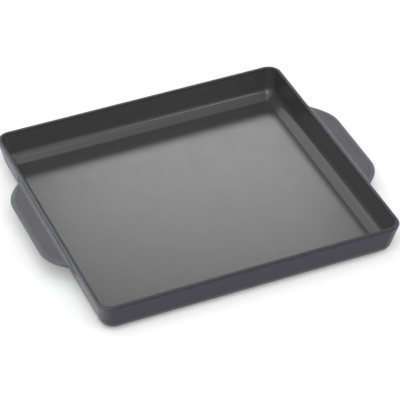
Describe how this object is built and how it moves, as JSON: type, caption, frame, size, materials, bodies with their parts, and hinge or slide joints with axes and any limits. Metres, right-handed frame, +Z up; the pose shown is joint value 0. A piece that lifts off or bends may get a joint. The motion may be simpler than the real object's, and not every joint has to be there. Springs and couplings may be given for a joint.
{
  "type": "cast iron skillet",
  "caption": "Shallow rectangular cast iron skillet with drafted walls, a rounded rim, a flat cooking floor and a flat tab handle on each short side.",
  "frame": {"origin": "middle of the flat base, at the height of the surface that the pan stands on", "axes": "+X from the left handle to the right handle, +Y to the back, +Z up out of the open top"},
  "size_m": [0.384, 0.3208, 0.039],
  "materials": {
    "cast_iron": "fine sand-cast iron under a thin ground coat",
    "handle_enamel": "matte blue-grey enamel on iron",
    "black_enamel": "satin black enamel with a fine orange peel",
    "grey_enamel": "matte blue-grey enamel"
  },
  "bodies": {
    "root": {"pan_body": "cast_iron", "left_handle": "handle_enamel", "right_handle": "handle_enamel", "interior_enamel": "black_enamel", "exterior_enamel": "grey_enamel"}
  },
  "joints": []
}
